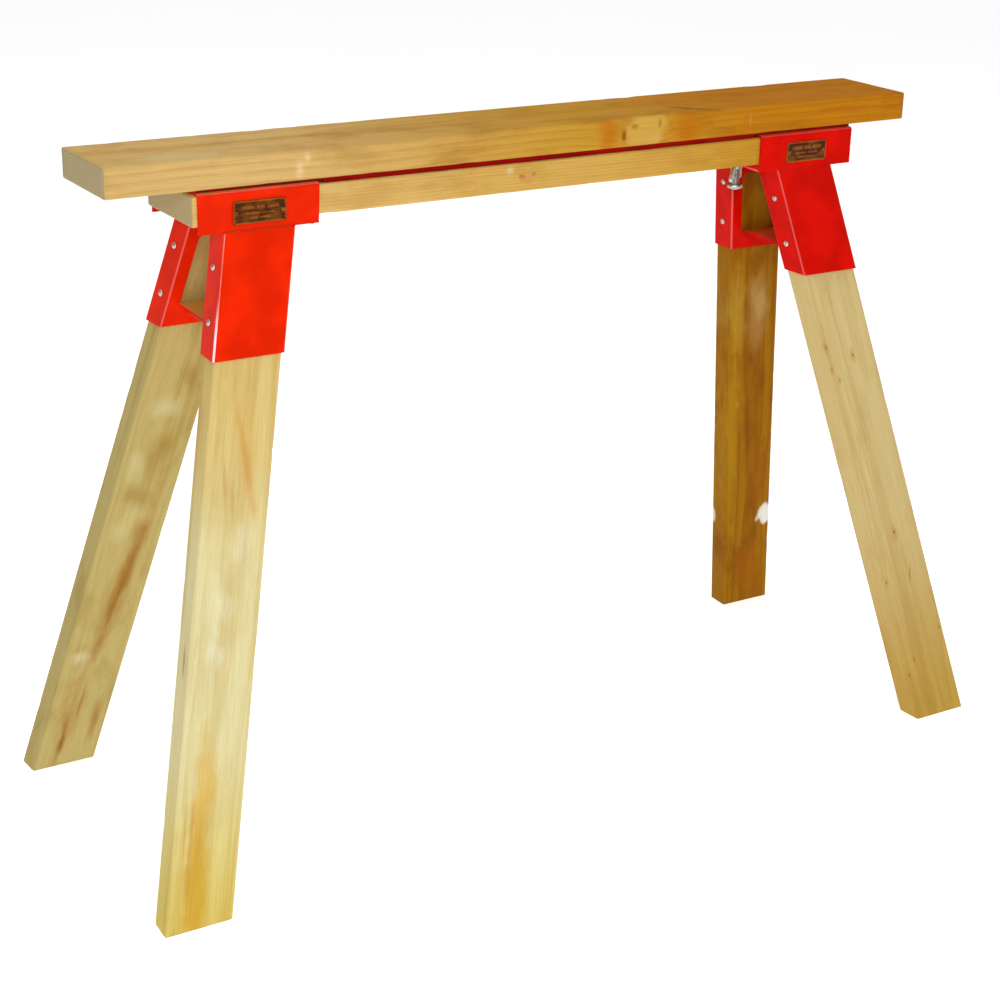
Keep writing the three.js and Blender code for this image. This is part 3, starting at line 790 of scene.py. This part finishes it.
def thread_rings(mesh, radius, depth, pitch, low, high, around=40, per_pitch=7):
    """Rings of a threaded rod: the radius follows a helix down its length."""
    count = round((high - low) / pitch * per_pitch)
    rings = []
    for row in range(count + 1):
        z = low + (high - low) * row / count
        fade = min(1.0, (z - low) / pitch, (high - z) / pitch)
        ring = []
        for i in range(around):
            turn = 2 * math.pi * i / around
            phase = (z / pitch - i / around) % 1.0
            ridge = 1 - abs(2 * phase - 1)
            r = radius - depth * (1 - min(1.0, ridge * 1.35)) * max(fade, 0.0)
            ring.append(mesh.verts.new((r * math.cos(turn), r * math.sin(turn), z)))
        rings.append(ring)
    return rings


def hanger_bolt(side, material):
    """Machine thread below the rail, plain shank in the boards, coarse wood thread above."""
    node = f"hanger_bolt_{side}"
    low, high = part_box(node)
    plank_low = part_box("top_plank")[0].z
    rail_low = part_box("rail")[0].z
    mesh = bmesh.new()
    parts = (
        (BOLT_THREAD, BOLT_PITCH, low.z + 1.0 * MM, rail_low + 6 * MM),
        (LAG_THREAD, LAG_PITCH, plank_low + 2 * MM, high.z - 6 * MM),
    )
    rings = []
    for depth, pitch, bottom, top in parts:
        rings += thread_rings(mesh, BOLT_RADIUS, depth, pitch, bottom, top)
    for lower, upper in zip(rings, rings[1:]):
        bridge(mesh, lower, upper)
    for ring, z, scale in ((rings[0], low.z, 0.78), (rings[-1], high.z, 0.2)):
        cap = [mesh.verts.new((v.co.x * scale, v.co.y * scale, z)) for v in ring]
        bridge(mesh, ring, cap)
        mesh.faces.new(cap)
    centre_over(mesh, low, high)
    return shown(node, mesh, material)


def washer(side, material):
    node = f"washer_{side}"
    low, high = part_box(node)
    outer = (high.x - low.x) / 2
    inner = BOLT_RADIUS + 0.3 * MM
    rim = 0.4 * MM
    profile = [(inner, low.z + rim), (inner + rim, low.z), (outer - rim * 2, low.z),
               (outer - rim * 0.5, low.z + rim * 0.5), (outer, low.z + rim * 2),
               (outer, high.z - rim), (outer - rim, high.z), (inner + rim, high.z),
               (inner, high.z - rim)]
    mesh = lathe(profile, 64, closed=True)
    centre_over(mesh, low, high)
    piece = shown(node, mesh, material)
    weigh_normals(piece)
    return piece


def stop_nut(side, material):
    """Hexagon nut with both faces chamfered, so that its corners end in curves."""
    node = f"stop_nut_{side}"
    low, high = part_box(node)
    around = 96
    apothem = NUT_FLATS / 2
    bore = BOLT_RADIUS + 0.25 * MM
    mesh = bmesh.new()

    def radius(turn):
        local = (turn + math.pi / 6) % (math.pi / 3) - math.pi / 6
        return apothem / math.cos(local)

    def ring(height_of, radius_of):
        made = []
        for i in range(around):
            turn = 2 * math.pi * i / around
            r = radius_of(turn)
            made.append(mesh.verts.new((r * math.cos(turn), r * math.sin(turn), height_of(r))))
        return made

    face = apothem * 0.96
    slope = math.tan(math.radians(30))
    rings = [
        ring(lambda r: low.z + NUT_CHAMFER, lambda t: bore),
        ring(lambda r: low.z, lambda t: bore + NUT_CHAMFER),
        ring(lambda r: low.z, lambda t: face),
        ring(lambda r: low.z + (r - face) * slope, radius),
        ring(lambda r: high.z - (r - face) * slope, radius),
        ring(lambda r: high.z, lambda t: face),
        ring(lambda r: high.z, lambda t: bore + NUT_CHAMFER),
        ring(lambda r: high.z - NUT_CHAMFER, lambda t: bore),
    ]
    for lower, upper in zip(rings, rings[1:] + rings[:1]):
        bridge(mesh, lower, upper)
    centre_over(mesh, low, high)
    return shown(node, mesh, material)


# ---- Nameplate -------------------------------------------------------------------------------

def slab(mesh, x0, x1, z0, z1, front, back, radius, lift=0.0):
    """A rounded plate standing in the XZ plane, from y = front to y = back."""
    steps = 5
    raised = mesh.verts.layers.float["raised"]
    outline = []
    corners = ((x1 - radius, z1 - radius), (x0 + radius, z1 - radius),
               (x0 + radius, z0 + radius), (x1 - radius, z0 + radius))
    for quarter, (cx, cz) in enumerate(corners):
        for step in range(steps + 1):
            turn = math.pi / 2 * (quarter + step / steps)
            outline.append((cx + radius * math.cos(turn), cz + radius * math.sin(turn)))
    inset = 0.15 * MM
    shrink = [(x + (0.5 * (x0 + x1) - x) * inset / (x1 - x0) * 2,
               z + (0.5 * (z0 + z1) - z) * inset / (z1 - z0) * 2) for x, z in outline]
    layers = [[mesh.verts.new((x, back, z)) for x, z in outline],
              [mesh.verts.new((x, front + inset, z)) for x, z in outline],
              [mesh.verts.new((x, front, z)) for x, z in shrink]]
    for layer in layers:
        for vertex in layer:
            vertex[raised] = lift
    for lower, upper in zip(layers, layers[1:]):
        bridge(mesh, lower, upper)
    mesh.faces.new(layers[0])
    mesh.faces.new(layers[-1])


def nameplate(side, material):
    """Stamped plate: a thin ground, a raised rim, and plain raised bars where words would be."""
    node = f"nameplate_{side}"
    low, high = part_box(node)
    front, back = low.y, high.y
    ground = front + PLATE_RELIEF
    rim = PLATE_RIM
    mesh = bmesh.new()
    mesh.verts.layers.float.new("raised")
    slab(mesh, low.x, high.x, low.z, high.z, ground, back, 1.5 * MM)
    sunk = ground + 0.1 * MM
    for x0, x1, z0, z1 in (
            (low.x, high.x, high.z - rim, high.z), (low.x, high.x, low.z, low.z + rim),
            (low.x, low.x + rim, low.z, high.z), (high.x - rim, high.x, low.z, high.z)):
        slab(mesh, x0, x1, z0, z1, front, sunk, 0.7 * MM, lift=1.0)
    wide, tall = high.x - low.x, high.z - low.z
    rows = (
        (0.70, 0.17, (0.14, 0.40, 0.44, 0.60, 0.64, 0.86)),
        (0.44, 0.08, (0.22, 0.50, 0.54, 0.78)),
        (0.24, 0.08, (0.30, 0.46, 0.50, 0.70)),
    )
    for middle, thick, ends in rows:
        for start, stop in zip(ends[::2], ends[1::2]):
            z = low.z + middle * tall
            slab(mesh, low.x + start * wide, low.x + stop * wide,
                 z - thick * tall / 2, z + thick * tall / 2, front + 0.1 * MM, sunk, 0.5 * MM,
                 lift=0.7)
    piece = shown(node, mesh, material)
    weigh_normals(piece)
    return piece


# ---- Putting it together ---------------------------------------------------------------------

FRONT = (-0.055, -0.068)       # x at which a front-edge knot fades in
PALE_DUST = rgb(232, 228, 200)
WHITE_PAINT = rgb(236, 236, 230)


def plank_wood():
    """The plank goes from honey at its left end to orange-brown at its right end: partly the
    wood's own tone, partly painted shade for the end further from the key light.
    """
    knot = {"face": "edge", "u": -0.001, "z": 0.766, "radius": 17 * MM, "squeeze": 0.55,
            "limit": FRONT, "colour": rgb(204, 158, 66), "heart": rgb(196, 146, 56),
            "amount": 0.1}
    near = dict(face="edge", limit=FRONT)
    top = dict(limit=(0.010, 0.018))
    stains = (
        stain(-0.004, 0.252, 0.017, 0.010, 0.55, rgb(240, 214, 168), core=-0.2, **near),
        stain(0.008, 0.262, 0.010, 0.007, 0.4, rgb(244, 224, 186), core=-0.2, **near),
        stain(0.010, 0.12, 0.006, 0.10, 0.4, rgb(196, 148, 80), slope=0.03, **near),
        stain(0.0, 0.335, 0.04, 0.05, 0.4, rgb(170, 124, 56), **top),
        stain(-0.040, 0.10, 0.03, 0.09, 0.35, rgb(206, 190, 140), **top),
        stain(0.02, 0.62, 0.03, 0.05, 0.4, rgb(176, 120, 46), **top),
        stain(-0.04, 0.735, 0.03, 0.035, 0.45, rgb(186, 126, 54), **top),
        stain(-0.05, 0.70, 0.03, 0.06, 0.3, rgb(166, 118, 40), **top),
        stain(0.030, 0.86, 0.025, 0.06, 0.4, rgb(196, 120, 40), **top),
        stain(-0.010, 1.02, 0.03, 0.09, 0.4, rgb(188, 112, 36), **top),
        stain(-0.052, 0.868, 0.012, 0.030, 0.6, rgb(120, 66, 20), slope=-0.5, ragged=1.6, **top),
        stain(-0.030, 0.845, 0.007, 0.022, 0.6, rgb(116, 62, 18), slope=-0.6, ragged=1.6, **top),
        stain(0.0, 0.704, 0.040, 0.022, 0.85, rgb(186, 110, 14), core=0.1, **near),
        stain(0.0, 0.836, 0.050, 0.036, 0.85, rgb(180, 104, 6), core=0.1, **near),
        stain(0.0, 0.766, 0.050, 0.037, 0.8, rgb(200, 160, 72), core=0.6, ragged=0.8, **near),
        stain(-0.010, 0.784, 0.010, 0.022, 0.7, rgb(206, 156, 92), core=0.0, **near),
        stain(-0.004, 0.730, 0.011, 0.005, 0.85, rgb(136, 70, 6), core=0.1, **near),
        stain(0.008, 0.747, 0.005, 0.009, 0.8, rgb(146, 106, 16), core=0.1, **near),
        stain(0.008, 0.788, 0.008, 0.004, 0.7, rgb(146, 106, 16), core=0.1, **near),
        stain(0.002, 0.9416, 0.015, 0.0011, 0.28, rgb(232, 190, 118), ragged=0.3, **near),
        stain(0.004, 1.10, 0.008, 0.07, 0.4, rgb(160, 90, 14), **near),
        stain(-0.010, 1.0, 0.006, 0.09, 0.35, rgb(164, 96, 16), **near),
    )
    return wood("plank_wood", "top_plank",
                (rgb(208, 173, 109), rgb(172, 128, 62), rgb(190, 146, 78)),
                ring=4.6 * MM, pith=(0.03, -0.05), contrast=0.35, stains=stains,
                # These fades darken the plank towards its right end: partly its tone, partly
                # painted shade.
                fades=((rgb(192, 144, 46), 0.15, 0.70), (rgb(200, 142, 40), 0.65, 1.0)),
                knots=(knot,))


def rail_wood():
    small = {"face": "edge", "squeeze": 0.6, "limit": FRONT, "rim": 0.4, "amount": 0.55,
             "colour": rgb(178, 118, 54), "heart": rgb(150, 92, 40), "bark": rgb(150, 96, 44)}
    knots = tuple({**small, "u": u, "z": z, "radius": radius}
                  for u, z, radius in ((0.001, 0.4625, 3.0 * MM), (0.003, 0.481, 2.6 * MM)))
    return wood("rail_wood", "rail",
                (rgb(216, 180, 112), rgb(188, 142, 70), rgb(200, 158, 84)),
                ring=3.8 * MM, pith=(-0.05, -0.04), contrast=0.35, knots=knots,
                # These fades darken the rail towards its right end: partly its tone, partly
                # painted shade.
                fades=((rgb(206, 166, 86), 0.10, 0.50), (rgb(200, 148, 36), 0.45, 0.98)),
                stains=(stain(0.011, 0.444, 0.008, 0.009, 0.5, rgb(222, 208, 172), core=-0.2,
                              face="edge", limit=FRONT),
                        stain(-0.004, 0.470, 0.010, 0.018, 0.5, rgb(196, 136, 70), face="edge",
                              limit=FRONT)))


def pin_knots(places, limit, halo=rgb(184, 134, 64)):
    """Tiny dark knots, each in a soft halo."""
    spots = []
    for x, z, size in places:
        spots.append(stain(x, z, 3.0 * size, 7 * size, 0.5, halo, limit=limit))
        spots.append(stain(x, z, size, 1.4 * size, 0.8, rgb(112, 76, 36), ragged=0.5,
                           limit=limit))
    return tuple(spots)


def front_left_wood():
    tan = rgb(198, 148, 78)
    stains = (
        stain(-0.004, 0.600, 0.022, 0.120, 0.5, rgb(212, 178, 108), slope=0.2),
        stain(-0.006, 0.590, 0.009, 0.095, 0.7, rgb(200, 148, 76), slope=0.26, core=0.0),
        stain(0.017, 0.550, 0.005, 0.055, 0.6, tan, slope=0.12, core=0.1),
        stain(0.004, 0.525, 0.004, 0.035, 0.5, tan, slope=0.1, core=0.1),
        stain(0.010, 0.405, 0.026, 0.030, 0.6, PALE_DUST, core=-0.3, ragged=2.2),
        stain(0.014, 0.345, 0.018, 0.034, 0.65, PALE_DUST, core=-0.3, ragged=2.2),
        stain(-0.010, 0.470, 0.016, 0.06, 0.3, PALE_DUST, core=-0.3, ragged=2.2),
        stain(0.010, 0.060, 0.024, 0.130, 0.9, rgb(204, 162, 52), core=0.2),
        stain(0.012, 0.175, 0.022, 0.090, 0.75, rgb(214, 176, 84)),
        stain(0.022, 0.100, 0.0045, 0.110, 0.6, tan, core=-0.2, ragged=0.8),
        stain(0.012, 0.090, 0.0040, 0.090, 0.5, tan, core=-0.2, ragged=0.8),
        stain(0.031, 0.120, 0.0035, 0.080, 0.45, tan, core=-0.2, ragged=0.8),
        stain(0.004, 0.330, 0.006, 0.030, 0.6, rgb(120, 88, 48), core=-0.2, face="edge",
              limit=(0.038, 0.043)),
    )
    return wood("leg_wood_front_left", "leg_front_left",
                (rgb(222, 212, 160), rgb(200, 178, 114), rgb(208, 182, 116)),
                ring=5.4 * MM, pith=(0.0, -0.085), contrast=0.35, mottle=0.35, stains=stains,
                fades=((rgb(216, 196, 108), 0.25, 0.0), (rgb(214, 190, 122), 0.42, 0.62)))


def back_left_wood():
    brown = rgb(142, 90, 26)
    stains = (
        stain(0.004, 0.320, 0.022, 0.180, 0.5, rgb(170, 134, 62), slope=0.10, core=0.2),
        stain(0.006, 0.300, 0.0150, 0.175, 0.75, rgb(152, 104, 38), slope=0.10, core=0.1),
        stain(0.006, 0.290, 0.0060, 0.120, 0.6, brown, slope=0.10, core=-0.1),
        stain(-0.012, 0.090, 0.020, 0.080, 0.6, rgb(170, 128, 60), core=0.2),
        stain(-0.014, 0.045, 0.0090, 0.055, 0.85, rgb(142, 82, 18), core=0.1),
        stain(-0.002, 0.110, 0.0060, 0.060, 0.6, rgb(150, 98, 36), core=0.1),
        stain(0.027, 0.080, 0.0100, 0.055, 0.6, rgb(156, 106, 40), core=0.1),
        stain(0.010, 0.535, 0.032, 0.050, 0.75, rgb(158, 124, 54), slope=0.3, core=-0.1),
        stain(-0.010, 0.455, 0.034, 0.024, 0.65, rgb(160, 128, 64), core=-0.1),
        stain(0.018, 0.640, 0.022, 0.028, 0.6, rgb(160, 128, 62), core=0.0),
        stain(-0.004, 0.590, 0.030, 0.025, 0.6, rgb(204, 196, 148), core=0.0),
        stain(-0.024, 0.500, 0.018, 0.030, 0.5, rgb(204, 196, 148), core=0.0),
        stain(-0.020, 0.400, 0.020, 0.025, 0.5, rgb(202, 192, 140), core=0.0),
        stain(-0.026, 0.190, 0.024, 0.018, 0.65, rgb(212, 200, 160), core=-0.1, ragged=2.0),
        stain(0.004, 0.425, 0.036, 0.018, 0.3, rgb(206, 192, 146), core=-0.3, ragged=2.2),
    )
    return wood("leg_wood_back_left", "leg_back_left",
                (rgb(186, 168, 106), rgb(158, 130, 62), rgb(170, 142, 74)),
                ring=4.8 * MM, pith=(0.012, 0.08), contrast=0.2, stains=stains)


def front_right_wood():
    spots = pin_knots((
        (0.040, 0.605, 1.8 * MM), (-0.004, 0.578, 2.0 * MM), (0.030, 0.551, 1.4 * MM),
        (0.039, 0.571, 1.3 * MM), (0.001, 0.299, 2.4 * MM), (0.038, 0.231, 2.0 * MM),
        (-0.0385, 0.125, 1.6 * MM), (0.023, 0.096, 1.8 * MM), (0.039, 0.078, 2.0 * MM)),
        limit=(0.010, 0.016))
    line = stain(-0.0085, 0.226, 0.0018, 0.018, 0.6, rgb(136, 96, 48), slope=-0.3, ragged=0.6)
    return wood("leg_wood_front_right", "leg_front_right",
                (rgb(204, 182, 124), rgb(182, 148, 88), rgb(190, 160, 100)),
                ring=4.4 * MM, pith=(-0.015, -0.09), contrast=0.3, mottle=0.4,
                stains=(*spots, line), fades=((rgb(188, 154, 72), 0.35, 0.0),))


def back_right_wood():
    stains = (
        stain(0.036, 0.180, 0.020, 0.024, 0.85, WHITE_PAINT, core=0.6, ragged=1.2),
        stain(0.016, 0.192, 0.007, 0.020, 0.8, WHITE_PAINT, core=0.45, ragged=1.0,
              face="edge", limit=(-0.038, -0.043)),
        stain(-0.030, 0.60, 0.020, 0.13, 0.6, rgb(176, 142, 50)),
        stain(-0.036, 0.36, 0.016, 0.30, 0.6, rgb(170, 128, 20)),
        stain(0.006, 0.60, 0.030, 0.09, 0.5, rgb(172, 132, 76)),
        stain(0.016, 0.27, 0.026, 0.10, 0.4, rgb(158, 92, 6)),
        stain(0.004, 0.07, 0.036, 0.09, 0.5, rgb(156, 88, 2)),
        stain(0.020, 0.46, 0.012, 0.05, 0.5, rgb(120, 62, 6)),
        stain(-0.006, 0.38, 0.012, 0.10, 0.45, rgb(118, 62, 4)),
        stain(0.012, 0.62, 0.02, 0.05, 0.5, rgb(182, 152, 90)),
        *pin_knots(((-0.026, 0.43, 1.5 * MM), (-0.026, 0.29, 1.7 * MM)), (-0.010, -0.016)),
    )
    return wood("leg_wood_back_right", "leg_back_right",
                (rgb(154, 104, 4), rgb(116, 60, 0), rgb(132, 76, 0)),
                ring=4.0 * MM, pith=(0.01, 0.07), contrast=0.45, mottle=0.6, stains=stains)


def build_boards():
    flat_board("top_plank", plank_wood())
    flat_board("rail", rail_wood())
    leg("leg_front_left", front_left_wood())
    leg("leg_back_left", back_left_wood())
    leg("leg_front_right", front_right_wood())
    leg("leg_back_right", back_right_wood())


def build_steel():
    """The left front socket's fold carries a painted highlight; the right bracket is redder than
    the left, as painted shade.
    """
    orange = (rgb(236, 40, 4), rgb(216, 34, 4))
    # The two coats are lit and shaded copies of one enamel: the left's orange-red is painted
    # light, and the right's deeper red and weaker tan film are painted shade.
    coats = {
        "left": enamel("enamel_left", *orange, tan_film=0.95),
        "right": enamel("enamel_right", rgb(212, 14, 3), rgb(192, 10, 2), tan_film=0.3),
    }
    # The left front socket gets the painted highlight low down on its outboard fold.
    wear_and_painted_highlight = enamel("enamel_painted_highlight", *orange, wear_and_painted_highlight=((-0.44, -0.46), (0.755, 0.70)))
    for side, coat in coats.items():
        for kind in ("saddle", "rail_leaf", "leg_leaf", "socket_front", "socket_back"):
            node = f"{kind}_{side}"
            paint = wear_and_painted_highlight if node == "socket_front_left" else coat
            softened(node, SHEET_BEVEL, paint)
    # The spine's red is painted darker than the brackets' as painted shade, for the shadowed gap
    # under the plank.
    spine_coat = enamel("enamel_spine", rgb(150, 8, 6), rgb(132, 5, 4))
    softened("spine_channel", SHEET_BEVEL, spine_coat)


def build_hardware():
    plated = zinc("zinc_plate")
    bright = zinc("screw_zinc", rgb(216, 214, 204), rgb(168, 166, 156), 0.22)
    gold = brass("nameplate_brass", rgb(122, 66, 14), rgb(70, 28, 4),
                 wear_and_painted_highlight=rgb(158, 92, 24))
    tack = brass("pin_brass", rgb(168, 116, 44), rgb(110, 66, 20), 0.3)
    spin = 0.4
    for side in SIDES:
        hanger_bolt(side, plated)
        washer(side, plated)
        stop_nut(side, plated)
        softened(f"wing_nut_{side}", WING_BEVEL, plated, segments=3)
        softened(f"tie_rivet_{side}", PIN_BEVEL, plated)
        nameplate(side, gold)
        for index in (1, 2):
            spin += 1.1
            round_screw(f"nameplate_pin_{side}_{index}", tack, spin)
        for end in ENDS:
            softened(f"hinge_pin_{end}_{side}", PIN_BEVEL, plated)
            spin += 0.7
            round_screw(f"leaf_screw_{end}_{side}", bright, spin)
            for index in range(1, 5):
                spin += 0.9
                round_screw(f"leg_screw_{end}_{side}_{index}", bright, spin)


# ---- Stage, light and camera -----------------------------------------------------------------

def floor():
    graph = Graph("floor_paint")
    place = graph.object_place()
    tone = graph.mix(graph.noise(place, 1.5), (0.90, 0.90, 0.89, 1), (0.94, 0.94, 0.93, 1))
    graph.surface("Base Color", tone)
    graph.surface("Roughness", 0.9)
    graph.surface("Emission Color", (1, 1, 1, 1))
    graph.surface("Emission Strength", 0.6)
    mesh = bmesh.new()
    bmesh.ops.create_grid(mesh, x_segments=1, y_segments=1, size=20)
    data = bpy.data.meshes.new("floor")
    mesh.to_mesh(data)
    mesh.free()
    data.materials.append(graph.material)
    placed("floor", data)


def area_light(name, place, target, size, power, colour=(1, 1, 1)):
    data = bpy.data.lights.new(name, "AREA")
    data.shape = "DISK"
    data.size = size
    data.energy = power
    data.color = colour
    light = placed(name, data)
    light.location = place
    light.rotation_euler = (Vector(target) - Vector(place)).to_track_quat("-Z", "Y").to_euler()


def studio():
    """A soft key beside the viewer, with weaker light from the right and from above."""
    middle = (cad_box[0] + cad_box[1]) / 2
    area_light("key", (-1.7, -3.1, 2.5), middle, 1.6, 54, (1.0, 0.985, 0.96))
    area_light("fill", (3.0, -2.5, 2.0), middle, 2.5, 16)
    area_light("sky", (0, 0.5, 4.2), middle, 3.5, 60)
    world = bpy.data.worlds.new("studio")
    world.use_nodes = True
    background = world.node_tree.nodes["Background"]
    background.inputs["Color"].default_value = (0.98, 0.99, 1.0, 1)
    background.inputs["Strength"].default_value = 0.38
    bpy.context.scene.world = world
    bpy.context.scene.view_settings.view_transform = "Standard"


def camera():
    """Standing to the front and left of the beam, looking down at it."""
    yaw, pitch, roll = math.radians(31.65), math.radians(21.07), math.radians(1.34)
    place = Vector((-1.460, -2.3256, 1.4282))
    sensor = 36.0
    focal = 2.0663 * sensor
    ahead = Vector((math.sin(yaw) * math.cos(pitch), math.cos(yaw) * math.cos(pitch),
                    -math.sin(pitch)))
    level = Vector((math.cos(yaw), -math.sin(yaw), 0))
    upright = level.cross(ahead)
    right = level * math.cos(roll) + upright * math.sin(roll)
    up = upright * math.cos(roll) - level * math.sin(roll)
    turn = Matrix((right, up, -ahead)).transposed().to_4x4()
    data = bpy.data.cameras.new("camera")
    data.sensor_width = sensor
    data.lens = focal
    data.clip_start = 0.05
    viewer = placed("camera", data)
    viewer.matrix_world = Matrix.Translation(place) @ turn
    bpy.context.scene.camera = viewer


camera()
build_boards()
build_steel()
build_hardware()
floor()
studio()
